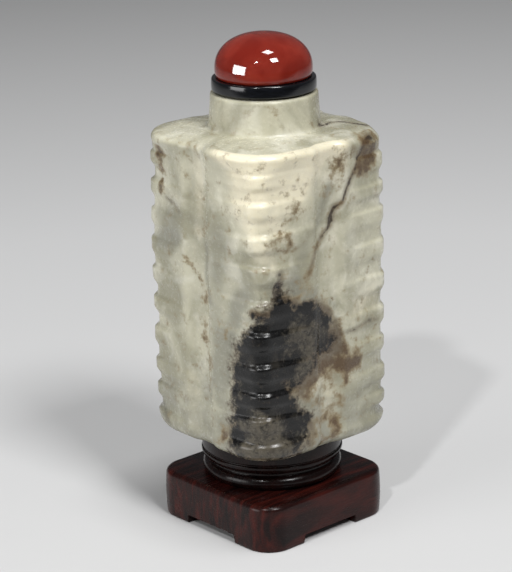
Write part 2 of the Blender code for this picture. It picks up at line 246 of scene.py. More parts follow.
def add_piece(name: str, mesh: bpy.types.Mesh, material: bpy.types.Material) -> bpy.types.Object:
    """Puts a mesh into the scene as a piece of the object.

    Args:
        name: The name of the piece.
        mesh: Its mesh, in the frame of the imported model.
        material: Its finish.

    Returns:
        The new object, riding on the root body.
    """
    piece = bpy.data.objects.new(name, mesh)
    piece.data.materials.append(material)
    bpy.context.scene.collection.objects.link(piece)
    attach(piece, "root")
    LOG.info("%s: %d faces", name, len(mesh.polygons))
    return piece


Tree = bpy.types.NodeTree
Socket = bpy.types.NodeSocket
Sockets = dict[str | int, object]


def feed(tree: Tree, node: bpy.types.Node, inputs: Sockets) -> None:
    """Gives inputs of a node, by name or place, a plain value or an output that is linked in."""
    for key, value in inputs.items():
        if isinstance(value, Socket):
            tree.links.new(value, node.inputs[key])
        else:
            node.inputs[key].default_value = value


def add_node(tree: Tree, kind: str, inputs: Sockets | None = None, **settings: object) -> bpy.types.Node:
    """Adds one shader node.

    Args:
        tree: The node tree.
        kind: The node's type, without its ShaderNode prefix.
        inputs: What its inputs are fed.
        **settings: The node's own settings by name.

    Returns:
        The node.
    """
    node = tree.nodes.new("ShaderNode" + kind)
    for key, value in settings.items():
        setattr(node, key, value)
    feed(tree, node, inputs or {})
    return node


def stretched(tree: Tree, place: Socket, scale: tuple[float, float, float]) -> Socket:
    """Returns a place with each coordinate multiplied by its own factor."""
    return add_node(tree, "Mapping", {"Vector": place, "Scale": scale}).outputs[0]


def noise(tree: Tree, place: Socket, grain: float, detail: float = 3.0, **inputs: float) -> Socket:
    """Returns a noise pattern whose blotches are about as wide as the grain, in millimetres."""
    settings = {"Vector": place, "Scale": 1 / grain, "Detail": detail, **inputs}
    return add_node(tree, "TexNoise", settings).outputs[0]


def ramp(tree: Tree, value: Socket, low: float, high: float, top: float = 1.0) -> Socket:
    """Returns a smooth rise from 0 at low to the top value at high."""
    span = {"Value": value, "From Min": low, "From Max": high, "To Min": 0.0, "To Max": top}
    return add_node(tree, "MapRange", span, interpolation_type="SMOOTHSTEP").outputs["Result"]


def mixed(tree: Tree, share: Socket, first: object, second: object) -> Socket:
    """Returns the colour between two colours at a share from 0 to 1."""
    return add_node(tree, "Mix", {0: share, 6: first, 7: second}, data_type="RGBA").outputs[2]


def computed(tree: Tree, operation: str, *values: object) -> Socket:
    """Returns the result of one sum on up to three numbers."""
    return add_node(tree, "Math", dict(enumerate(values)), operation=operation).outputs[0]


def shifted(tree: Tree, value: Socket, *patterns: tuple[Socket, float]) -> Socket:
    """Returns a value moved up and down by patterns whose middle is 0.5, so that its edges turn ragged.

    Args:
        tree: The node tree.
        value: The value.
        *patterns: Each pattern with its weight.

    Returns:
        The moved value.
    """
    for pattern, weight in patterns:
        value = computed(tree, "MULTIPLY_ADD", computed(tree, "SUBTRACT", pattern, 0.5), weight, value)
    return value


def bumped(tree: Tree, height: Socket, strength: float, depth: float, under: Socket | None = None) -> Socket:
    """Returns the normals of a bumpy surface, with a depth in millimetres, on top of other bumps if given."""
    inputs = {"Strength": strength, "Distance": depth * MM, "Height": height}
    return add_node(tree, "Bump", inputs if under is None else {**inputs, "Normal": under}).outputs[0]


class Layer(Enum):
    """The layers of values that the bottle's mesh carries for its stone, and for shade painted on it."""

    DARK = "dark_mm"
    VEIN = "vein_mm"
    STAIN = "stain"
    CREAM = "cream"
    HAZE_AND_SHADE = "haze_and_shade"
    DIRT_AND_SHADOW = "dirt_and_shadow"
    SMOKE = "smoke"


@dataclass
class Coats:
    """The colour of a material, built up in coats."""

    tree: Tree
    colour: object

    def add(self, value: Socket, low: float, high: float, top: float, paint: str | Socket) -> None:
        """Lays a coat over the colour, by a share that rises smoothly from 0 at low to the top at high."""
        over = linear(paint) if isinstance(paint, str) else paint
        self.colour = mixed(self.tree, ramp(self.tree, value, low, high, top), self.colour, over)


@dataclass(frozen=True)
class Finish:
    """What every finish shares: a name, the gloss of its surface and its refractive index."""

    name: str
    roughness: float
    ior: float

    def start(self) -> tuple[Tree, bpy.types.Node, Socket]:
        """Makes the material.

        Returns:
            Its node tree, its Principled shader, and Object coordinates in millimetres.
        """
        material = bpy.data.materials.new(self.name)
        material.use_nodes = True
        tree = material.node_tree
        shader = tree.nodes["Principled BSDF"]
        feed(tree, shader, {"Roughness": self.roughness, "IOR": self.ior})
        place = add_node(tree, "TexCoord").outputs["Object"]
        return tree, shader, stretched(tree, place, (1 / MM, 1 / MM, 1 / MM))

    def uneven_gloss(self, tree: Tree, pattern: Socket) -> Socket:
        """Returns the finish's roughness with a pattern added."""
        return computed(tree, "ADD", pattern, self.roughness)

    def settle(self, tree: Tree, shader: bpy.types.Node, inputs: Sockets) -> bpy.types.Material:
        """Feeds the shader what the finish has worked out, and returns the material."""
        feed(tree, shader, inputs)
        return bpy.data.materials[self.name]


@dataclass(frozen=True)
class Jade(Finish):
    """Nephrite, ground and polished by hand.

    It is cloudy and lets light in a little way, with a waxy gloss, and carries brown veins and a dark cloud
    of graphite-like inclusions, which thins to smoke in places. Its colour turns greyer towards the bottom,
    and painted shade greys and darkens it in places.
    """

    grey_green: str = "#9e9b86"
    pale: str = "#c6c3ae"
    milky: str = "#dedccd"
    cream: str = "#f1e9cf"
    haze_and_shade: str = "#878679"
    tan: str = "#8a795a"
    rust: str = "#584532"
    umber: str = "#2c2019"
    ink: str = "#07080a"
    slate: str = "#24262a"
    olive: str = "#5c564a"
    greying_heights: tuple[float, float] = (40.0, 12.0)

    def build(self) -> bpy.types.Material:
        """Returns the stone's material."""
        tree, shader, place = self.start()
        clouds = noise(tree, place, 9.0, 4.0, Distortion=0.8)
        wisps = noise(tree, place, 3.8, 5.0, Distortion=0.4)
        mottle = noise(tree, place, 1.5, 6.0, Roughness=0.62)
        fine = noise(tree, place, 0.6, 5.0, Roughness=0.7)
        grains = noise(tree, place, 1.1, 6.0, Roughness=0.75, Distortion=0.5)
        painted = {
            layer: add_node(tree, "Attribute", attribute_name=layer.value).outputs["Fac"] for layer in Layer
        }
        stone = Coats(tree, linear(self.grey_green))
        stone.add(clouds, 0.36, 0.64, 1.0, self.pale)
        stone.add(wisps, 0.48, 0.72, 0.6, self.milky)
        stone.add(shifted(tree, painted[Layer.CREAM], (wisps, 0.9)), 0.05, 0.95, 0.9, self.cream)
        # Grey haze in the stone, and painted shade on the left side and beside the crack.
        stone.add(shifted(tree, painted[Layer.HAZE_AND_SHADE], (wisps, 0.8)), 0.15, 1.0, 0.75, self.haze_and_shade)
        stone.add(mottle, 0.53, 0.72, 0.4, self.tan)
        height = add_node(tree, "SeparateXYZ", {0: place}).outputs[2]
        # The stone is coloured greyer towards the bottom.
        greyer_downwards = shifted(tree, ramp(tree, height, *self.greying_heights), (wisps, 1.3), (mottle, 0.8))
        stone.add(greyer_downwards, 0.3, 1.1, 0.7, self.haze_and_shade)
        stain = shifted(tree, painted[Layer.STAIN], (mottle, 2.4), (fine, 1.2))
        stone.add(stain, 0.2, 0.85, 0.85, self.tan)
        stone.add(stain, 0.6, 1.3, 0.9, self.rust)
        vein = shifted(tree, painted[Layer.VEIN], (mottle, 1.0), (fine, 0.6))
        stone.add(vein, 0.9, 0.0, 0.5, self.rust)
        stone.add(vein, 0.17, 0.0, 0.8, self.umber)
        cloud = shifted(tree, painted[Layer.DARK], (wisps, 3.0), (mottle, 4.6), (fine, 2.2))
        stone.add(cloud, 2.6, 0.2, 0.45, self.haze_and_shade)
        stone.add(cloud, 1.1, 0.1, 0.6, self.rust)
        ink = Coats(tree, linear(self.ink))
        ink.add(fine, 0.52, 0.74, 0.5, self.slate)
        ink.add(mottle, 0.56, 0.70, 0.45, self.umber)
        ink.add(wisps, 0.54, 0.68, 0.15, self.olive)
        smoke = shifted(tree, painted[Layer.SMOKE], (mottle, 2.2), (fine, 1.2))
        ink.add(smoke, 0.15, 1.0, 0.85, self.olive)
        ink.add(grains, 0.50, 0.62, 0.7, self.ink)
        stone.add(cloud, 0.6, -0.7, 0.985, ink.colour)
        # Dirt and specks, and a painted shadow at the base of the left corner, turn the stone umber here.
        dirt_and_shadow = computed(tree, "MULTIPLY", painted[Layer.DIRT_AND_SHADOW], ramp(tree, fine, 0.3, 0.7, 0.9))
        return self.settle(tree, shader, {
            "Base Color": mixed(tree, dirt_and_shadow, stone.colour, linear(self.umber)),
            "Specular IOR Level": 0.3,
            "Subsurface Weight": 0.35,
            "Subsurface Radius": (1.0, 0.95, 0.75),
            "Subsurface Scale": 0.9 * MM,
            "Roughness": self.uneven_gloss(tree, ramp(tree, fine, 0.2, 0.8, 0.14)),
            "Normal": bumped(tree, fine, 0.35, 0.03, bumped(tree, mottle, 0.5, 0.10)),
        })


@dataclass(frozen=True)
class Agate(Finish):
    """Red agate under a mirror polish: an even colour with faint clouds, which lets light in a little way."""

    deep: str = "#741e13"
    warm: str = "#8a2e21"

    def build(self) -> bpy.types.Material:
        """Returns the dome's material."""
        tree, shader, place = self.start()
        stone = Coats(tree, linear(self.deep))
        stone.add(noise(tree, place, 5.0, 3.0, Distortion=0.4), 0.35, 0.7, 1.0, self.warm)
        return self.settle(tree, shader, {
            "Base Color": stone.colour,
            "Subsurface Weight": 0.25,
            "Subsurface Radius": (1.0, 0.25, 0.15),
            "Subsurface Scale": 1.2 * MM,
        })


@dataclass(frozen=True)
class Horn(Finish):
    """Black horn, turned and polished: nearly black, with a cool sheen and fine turning lines."""

    black: str = "#08090c"
    grey: str = "#101218"

    def build(self) -> bpy.types.Material:
        """Returns the collar's material."""
        tree, shader, place = self.start()
        streaks = noise(tree, stretched(tree, place, (1.0, 1.0, 6.0)), 1.2, 4.0)
        horn = Coats(tree, linear(self.black))
        horn.add(streaks, 0.4, 0.7, 1.0, self.grey)
        return self.settle(tree, shader, {
            "Base Color": horn.colour,
            "Normal": bumped(tree, streaks, 0.3, 0.02),
        })


@dataclass(frozen=True)
class Rosewood(Finish):
    """Dense dark rosewood, scraped and waxed.

    Its growth rings stand upright across the grain, so they show as upright streaks on the end grain, and
    its fibres and pores run along X, so they show as fine level streaks on the long grain.
    """

    heart: str = "#100606"
    ring: str = "#260e0b"
    red: str = "#4e1b14"
    pore: str = "#0a0506"

    def build(self) -> bpy.types.Material:
        """Returns the stand's material."""
        tree, shader, place = self.start()
        rings = noise(tree, stretched(tree, place, (0.10, 1.0, 0.12)), 0.8, 3.0, Distortion=0.3)
        bands = noise(tree, stretched(tree, place, (0.10, 1.0, 0.3)), 1.1, 4.0, Distortion=0.3)
        fibres = noise(tree, stretched(tree, place, (0.10, 1.0, 1.0)), 0.35, 4.0, Roughness=0.6)
        wood = Coats(tree, linear(self.heart))
        wood.add(rings, 0.3, 0.7, 1.0, self.ring)
        wood.add(bands, 0.40, 0.75, 0.6, self.red)
        wood.add(fibres, 0.55, 0.75, 0.6, self.pore)
        return self.settle(tree, shader, {
            "Base Color": wood.colour,
            "Specular IOR Level": 0.2,
            "Roughness": self.uneven_gloss(tree, ramp(tree, fibres, 0.35, 0.75, 0.15)),
            "Normal": bumped(tree, fibres, 0.25, 0.04),
        })


@dataclass(frozen=True)
class CorkOak(Finish):
    """Cork oak bark, cut and sanded: warm tan with darker pores."""

    tan: str = "#b08a62"
    pore: str = "#6b4a30"

    def build(self) -> bpy.types.Material:
        """Returns the cork's material."""
        tree, shader, place = self.start()
        pores = noise(tree, place, 0.8, 5.0, Roughness=0.7)
        bark = Coats(tree, linear(self.tan))
        bark.add(pores, 0.55, 0.7, 1.0, self.pore)
        return self.settle(tree, shader, {
            "Base Color": bark.colour,
            "Normal": bumped(tree, pores, 0.6, 0.1),
        })


class Corner(Enum):
    """The four corners of the bottle, in the order in which its outline passes them."""

    BACK = 0
    LEFT = 1
    FRONT = 2
    RIGHT = 3


def all_round(eighth: Array) -> Array:
    """Completes level vectors from one eighth of a turn: mirrored in the diagonal, then turned three times.

    Args:
        eighth: Vectors with x and y in the last dimension, from the middle of the side at +X to the diagonal.

    Returns:
        The vectors of a whole turn, anticlockwise, in the last dimension but one.
    """
    quarter = np.concatenate([eighth, eighth[..., -2:0:-1, ::-1]], axis=-2)
    turns = [np.array([[c, s], [-s, c]]) for c, s in ((1, 0), (0, 1), (-1, 0), (0, -1))]
    return np.concatenate([quarter @ turn for turn in turns], axis=-2)


def rounded_eighth(flat_columns: int, arc_columns: int) -> tuple[Array, Array]:
    """Returns what places the points of a rounded square: each lies at F times a spot plus R times a way out.

    F is half the flat part of a side and R the radius of the corners.
    """
    flat = np.arange(flat_columns) / flat_columns
    angle = np.arange(arc_columns + 1) / arc_columns * math.pi / 4
    spot = np.vstack([np.stack([np.ones_like(flat), flat], axis=-1), np.ones((len(angle), 2))])
    turn = np.concatenate([np.zeros_like(flat), angle])
    return spot, np.stack([np.cos(turn), np.sin(turn)], axis=-1)


@dataclass
class JadeBottle:
    """The hollow stone bottle: a square body with ribbed corners and channelled faces, and a round neck.

    At the rim and the base the body is a square with widely rounded corners. Between them its faces lie
    further in and lean back to a soft ridge at each corner.
    """

    turn: float = math.radians(-1.5)
    bottom: float = 13.7
    half_side: float = 13.75
    corner_radius: float = 7.2
    ridge_radius: float = 2.6
    face_inset: float = 0.6
    face_taper: float = math.radians(5.5)
    face_bend: float = 1.3
    rim_reach: float = 4.0
    base_reach: float = 6.0
    height: float = 45.4
    flare: float = 0.1
    swell: float = 0.2
    base_round: float = 2.8
    rim_round: float = 1.0
    shoulder_rise: float = 0.6
    channel_width: float = 2.2
    channel_depth: float = 0.72
    channel_edge: float = 1.9
    notch_depth: float = 0.64
    notch_on_edge: float = 0.62
    notch_on_face: float = 0.10
    notch_flank: tuple[float, float] = (0.15, 0.31)
    notch_run_out: tuple[float, float] = (0.56, 0.86)
    notch_reach: tuple[float, float, float] = (0.0, 1.9, 8.8)
    notch_fade: tuple[float, float] = (4.2, 1.6)
    worn_depth: float = 0.8
    worn_height: float = 1.8
    worn_reach: float = 7.5
    crack_depth: float = 0.09
    crack_reach: float = 0.28
    foot_radius: float = 8.0
    foot_height: float = 1.6
    foot_ring: float = 1.4
    foot_recess: float = 0.6
    neck_base: float = 8.1
    neck_top: float = 7.7
    neck_height: float = 5.05
    neck_fillet: float = 0.75
    lip_round: float = 0.55
    mouth_radius: float = 3.6
    side_wall: float = 3.0
    floor_wall: float = 3.2
    shoulder_wall: float = 3.0
    cavity_corner: float = 3.6
    cavity_round: float = 2.6
    flat_columns: int = 30
    arc_columns: int = 15
    body_rows: int = 186
    crests: dict[Corner, tuple[float, ...]] = field(default_factory=lambda: {
        Corner.BACK: (15.3, 19.2, 23.3, 27.6, 32.2, 37.0, 41.8, 46.4, 50.7, 54.8, 58.7),
        Corner.LEFT: (15.9, 19.9, 23.7, 28.5, 33.4, 37.7, 42.2, 46.5, 51.1, 55.3, 58.9),
        Corner.FRONT: (15.8, 19.9, 23.4, 27.7, 32.4, 37.0, 42.1, 46.5, 51.4, 55.5, 59.2),
        Corner.RIGHT: (15.2, 18.7, 22.4, 27.3, 31.6, 36.8, 41.9, 46.7, 50.7, 54.6, 58.9),
    })

    @property
    def rim(self) -> float:
        """The height of the body's upper edge."""
        return self.bottom + self.height

    @property
    def lip(self) -> float:
        """The height of the top of the neck."""
        return self.rim + self.shoulder_rise + self.neck_height

    @cached_property
    def along(self) -> Array:
        """The distance of each column of an eighth from the middle of its face, half way up the body."""
        place, _ = self.eighth(np.array([self.bottom + self.height / 2]))
        return np.concatenate([[0.0], np.cumsum(np.linalg.norm(np.diff(place[0], axis=0), axis=1))])

    @property
    def quarter(self) -> float:
        """The length of the outline from the middle of one face to the middle of the next."""
        return 2 * float(self.along[-1])

    def half_at(self, z: Array) -> Array:
        """Half the width at a height: the body swells at half height, and widens downwards."""
        down = np.clip((self.rim - z) / self.height, 0.0, 1.0)
        return self.half_side + self.flare * down + self.swell * 4 * down * (1 - down)

    def eighth(self, z: Array) -> tuple[Array, Array]:
        """Works out the plain outline at each height, from the middle of the face at +X to the diagonal.

        The ridged outline runs at x = h up to y = s, bends softly to lean back by the angle a and ends in an
        arc of radius r about (c, c), where c = (h cos a + s sin a - r) / (cos a + sin a). The outline lies
        between the rounded square and this one, by a share that rises from 0 at the rim and the base to 1.

        Args:
            z: The heights, one for each row.

        Returns:
            The places and the level ways out, with a row for each height.
        """
        half = self.half_at(z)[:, None]
        spot, way = rounded_eighth(self.flat_columns, self.arc_columns)
        rounded = (half - self.corner_radius)[..., None] * spot + self.corner_radius * way
        taper, start = self.face_taper, self.channel_width / 2 + self.channel_edge
        face, radius = half - self.face_inset, self.ridge_radius
        cosine, sine = math.cos(taper), math.sin(taper)
        centre = (face * cosine + start * sine - radius) / (cosine + sine)
        across = spot[: self.flat_columns, 1] * (centre + radius * sine)
        leaning = (across - start + np.hypot(across - start, self.face_bend)) / 2
        arc = np.arange(self.arc_columns + 1) / self.arc_columns
        angle = np.concatenate([
            taper * smooth_step(start - 1.0, start + 1.0, across),
            np.broadcast_to(taper + arc * (math.pi / 4 - taper), (len(z), len(arc))),
        ], axis=1)
        ridge_way = np.stack([np.cos(angle), np.sin(angle)], axis=-1)
        flat = np.stack([face - leaning * math.tan(taper), across], axis=-1)
        ridge = centre[..., None] + radius * ridge_way[:, self.flat_columns :]
        ridged = np.concatenate([flat, ridge], axis=1)
        from_end = np.minimum((self.rim - z) / self.rim_reach, (z - self.bottom) / self.base_reach)
        share = smooth_step(0.0, 1.0, from_end)[:, None, None]
        out = way + (ridge_way - way) * share
        return rounded + (ridged - rounded) * share, out / np.linalg.norm(out, axis=-1, keepdims=True)

    def distance_round(self) -> Array:
        """Returns the distance round the outline of each column from the front corner, positive at -Y."""
        along = self.along
        one = np.concatenate([along, self.quarter - along[-2:0:-1]])
        distance = np.concatenate([one + k * self.quarter for k in range(4)]) - 2.5 * self.quarter
        return (distance + 2 * self.quarter) % (4 * self.quarter) - 2 * self.quarter

    def corner_gap(self, around: Array) -> Array:
        """Returns the distance round the outline to the nearest corner's ridge."""
        return np.abs((around + self.quarter / 2) % self.quarter - self.quarter / 2)

    def rib_phase(self, z: Array, around: Array) -> Array:
        """Returns the place of each point among the ribs, a whole number on each crest.

        The place is interpolated between the crests of each corner, and between two corners along the face
        that joins them.
        """
        corner_at = np.array([2.0, -1.0, 0.0, 1.0]) * self.quarter
        total, weights = np.zeros(z.shape), np.zeros(z.shape)
        for corner, centre in zip(Corner, corner_at):
            phase = np.interp(z, self.crests[corner], np.arange(len(self.crests[corner])))
            gap = np.abs((around - centre + 2 * self.quarter) % (4 * self.quarter) - 2 * self.quarter)
            weight = 1 - smooth_step(0.12, 0.88, gap / self.quarter)
            total += weight * phase
            weights += weight
        return total / np.maximum(weights, 1e-6)

    def carving(self, around: Array, face_gap: Array, points: Array) -> Array:
        """Returns how far the surface lies inside the plain outline.

        A crest is flat, its upper flank steep, and the valley above runs gently out to the next crest. The
        ribs are deepest on the ridges, and fade over the faces and under the rim. A channel has a flat floor,
        and sides that follow a smooth step.

        Args:
            around: The distance round the outline of each point.
            face_gap: The distance of each point from the middle of its face.
            points: The points themselves, for the unevenness of carving by hand.

        Returns:
            A depth in millimetres for each point.
        """
        place = (self.rib_phase(points[..., 2], around) + 0.03 * waves(points, 7.0, 6)) % 1.0
        shape = smooth_step(*self.notch_flank, place) - smooth_step(*self.notch_run_out, place)
        strengths = (1.0, self.notch_on_edge, self.notch_on_face)
        strength = np.interp(self.corner_gap(around), self.notch_reach, strengths)
        strength = strength * (1 + 0.2 * waves(points, 9.0, 5))
        fade_low, fade_high = (self.rim - below for below in self.notch_fade)
        strength = strength * (1 - 0.6 * smooth_step(fade_low, fade_high, points[..., 2]))
        channel_half = self.channel_width / 2
        channel = 1 - smooth_step(channel_half, channel_half + self.channel_edge, face_gap)
        depth = self.channel_depth * (1 + 0.15 * waves(points, 14.0, 9))
        return self.notch_depth * strength * shape * (1 - channel) + depth * channel

    def body_rings(self) -> tuple[Array, Array]:
        """Returns the rings of the carved body, and the distance round the outline of their points."""
        base = np.linspace(0.0, math.pi / 2, 9)[:-1]
        edge = np.linspace(0.0, math.pi / 2, 7)[1:]
        rise = np.concatenate([
            self.base_round * (1 - np.cos(base)),
            np.linspace(self.base_round, self.height - self.rim_round, self.body_rows),
            self.height - self.rim_round * (1 - np.sin(edge)),
        ])
        inset = np.concatenate([
            self.base_round * (1 - np.sin(base)),
            np.zeros(self.body_rows),
            self.rim_round * (1 - np.cos(edge)),
        ])
        place, out = self.eighth(self.bottom + rise)
        gap = np.concatenate([place[..., 1], place[:, -2:0:-1, 1]], axis=1)
        plain, way = all_round(place), all_round(out)
        around = np.broadcast_to(self.distance_round(), plain.shape[:2])
        z = np.broadcast_to((self.bottom + rise)[:, None], around.shape)
        rough = np.dstack([plain, z])
        carved = self.carving(around, np.tile(gap, (1, 4)), rough)
        depth = inset[:, None] + carved * (1 - 0.55 * smooth_step(0.0, self.base_round, inset)[:, None])
        depth = depth - 0.06 * waves(rough, 17.0, 21) - 0.03 * waves(rough, 5.0, 22)
        worn = smooth_step(self.rim - self.worn_height, self.rim - 0.3, z)
        worn = worn * (1 - smooth_step(0.0, self.worn_reach, np.abs(around - self.quarter)))
        depth = depth + self.worn_depth * worn
        return np.dstack([plain - depth[..., None] * way, z]), around

    def rings(self) -> tuple[Array, Array]:
        """Returns every ring of the bottle, from the recess in its foot over the outside to its inside."""
        body, around = self.body_rings()
        angle = np.arctan2(body[0, :, 1], body[0, :, 0])
        round_way = np.stack([np.cos(angle), np.sin(angle)], axis=-1)

        def level(radius: float, z: float) -> Array:
            """Returns one round ring."""
            return np.column_stack([round_way * radius, np.full(len(angle), z)])

        foot_bottom = self.bottom - self.foot_height
        inner = self.foot_radius - self.foot_ring
        foot = [level(r, z) for r, z in zip(*rounded_profile([
            (inner * 0.5, foot_bottom + self.foot_recess, 0.0),
            (inner, foot_bottom + self.foot_recess, 0.2),
            (inner, foot_bottom, 0.2),
            (self.foot_radius, foot_bottom, 0.3),
            (self.foot_radius, self.bottom, 0.0),
            (self.foot_radius + 0.4, self.bottom, 0.0),
        ], 4))]
        neck_foot = round_way * (self.neck_base + self.neck_fillet)
        shoulder = []
        for share in np.linspace(0.0, 1.0, 13)[1:]:
            flat = body[-1, :, :2] + (neck_foot - body[-1, :, :2]) * share
            height = self.rim + self.shoulder_rise * share * (2 - share)
            ring = np.column_stack([flat, np.full(len(angle), height)])
            ring[:, 2] += 0.05 * waves(ring, 8.0, 31) * math.sin(math.pi * share)
            shoulder.append(ring)
        neck_bottom = self.rim + self.shoulder_rise
        profile = rounded_profile([
            (self.neck_base + self.neck_fillet, neck_bottom, 0.0),
            (self.neck_base, neck_bottom + 0.05, self.neck_fillet),
            ((self.neck_base + self.neck_top) / 2 - 0.05, (neck_bottom + self.lip) / 2, 1.6),
            (self.neck_top, self.lip, self.lip_round),
            (self.mouth_radius, self.lip, 0.35),
            (self.mouth_radius, self.rim - self.shoulder_wall, 0.0),
        ], 7)
        neck = np.stack([level(r, z) for r, z in list(zip(*profile))[1:]])
        neck[..., :2] *= (1 + 0.004 * waves(neck, 9.0, 41))[..., None]
        rings = np.concatenate([np.stack(foot), body, np.stack(shoulder), neck, self.cavity(round_way)])
        far = np.full(rings.shape[:2], OFF_BODY)
        far[len(foot) : len(foot) + len(body)] = around
        return rings, far

    def cavity(self, round_way: Array) -> Array:
        """Returns the rings of the hollow, from under the shoulder down the walls to the floor."""
        spot, way = (all_round(part) for part in rounded_eighth(self.flat_columns, self.arc_columns))
        half = self.half_side - self.face_inset - self.channel_depth - self.side_wall
        top, bottom = self.rim - self.shoulder_wall, self.bottom + self.floor_wall
        steps = np.linspace(0.0, math.pi / 2, 6)
        inset = self.cavity_round * np.concatenate([1 - np.sin(steps), 1 - np.cos(steps)])
        z = np.concatenate([
            top - self.cavity_round * (1 - np.cos(steps)),
            bottom + self.cavity_round * (1 - np.sin(steps)),
        ])
        square = (half - self.cavity_corner) * spot
        rings = [
            np.column_stack([square + way * (self.cavity_corner - i), np.full(len(way), height)])
            for i, height in zip(inset, z)
        ]
        rings.append(np.column_stack([round_way * 2.0, np.full(len(way), bottom)]))
        return np.stack(rings)

    def build(self, material: bpy.types.Material) -> bpy.types.Object:
        """Builds the bottle and paints the layers of its stone.

        Args:
            material: The jade.

        Returns:
            The finished piece.
        """
        rings, around = self.rings()
        layers = Markings().paint(rings, around)
        beside = np.maximum(layers[Layer.VEIN], 0.0) / self.crack_reach
        crack = np.exp(-(beside**2)) * (around < OFF_BODY)
        outward = rings[..., :2] / np.maximum(np.linalg.norm(rings[..., :2], axis=-1, keepdims=True), 1e-6)
        rings[..., :2] -= self.crack_depth * crack[..., None] * outward
        poles = (self.bottom - self.foot_height + self.foot_recess, self.bottom + self.floor_wall)
        mesh = fill_mesh("jade_bottle", turned(rings, self.turn), poles)
        for layer, values in layers.items():
            data = mesh.attributes.new(layer.value, "FLOAT", "POINT").data
            data.foreach_set("value", np.append(values.ravel(), [values[0, 0]] * 2).astype(np.float32))
        piece = add_piece("jade_bottle", mesh, material)
        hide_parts("bottle")
        return piece


@dataclass(frozen=True)
class Stroke:
    """A soft mark in the stone: the spots of its path, how far it reaches to each side, and its strength."""

    spots: Spots
    reach: float
    strength: float


@dataclass(frozen=True)
class Vein:
    """A thin dark line in the stone: the spots of its path and half its width, negative where it is faint."""

    spots: Spots
    half_width: float


